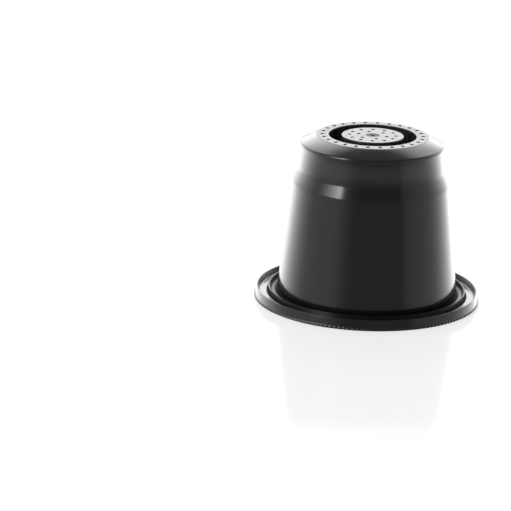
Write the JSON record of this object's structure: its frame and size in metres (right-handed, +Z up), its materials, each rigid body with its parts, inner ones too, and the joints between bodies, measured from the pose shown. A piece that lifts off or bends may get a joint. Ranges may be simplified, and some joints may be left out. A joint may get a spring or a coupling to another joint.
{
  "type": "coffee pod",
  "caption": "Black moulded coffee pod: tapered cup with a perforated nose, a toothed flange and a foil-sealed mouth, standing on its flange.",
  "frame": {"origin": "centre of the flange's underside, on the surface that the pod stands on", "axes": "+Z up along the pod's axis towards its perforated nose; +X to the right and +Y away in the picture"},
  "size_m": [0.0382, 0.0382, 0.0285],
  "materials": {
    "shell_plastic": "black satin-gloss moulded plastic, finely spark-eroded on the flat nose",
    "filter_fleece": "off-white pressed filter fleece",
    "ground_coffee": "dark brown ground coffee",
    "foil": "plain brushed-looking lidding foil with a pressed seal ring"
  },
  "bodies": {
    "root": {"capsule_shell": "shell_plastic", "inlet_filter": "filter_fleece", "coffee_bed": "ground_coffee", "sealing_foil": "foil"}
  },
  "joints": []
}
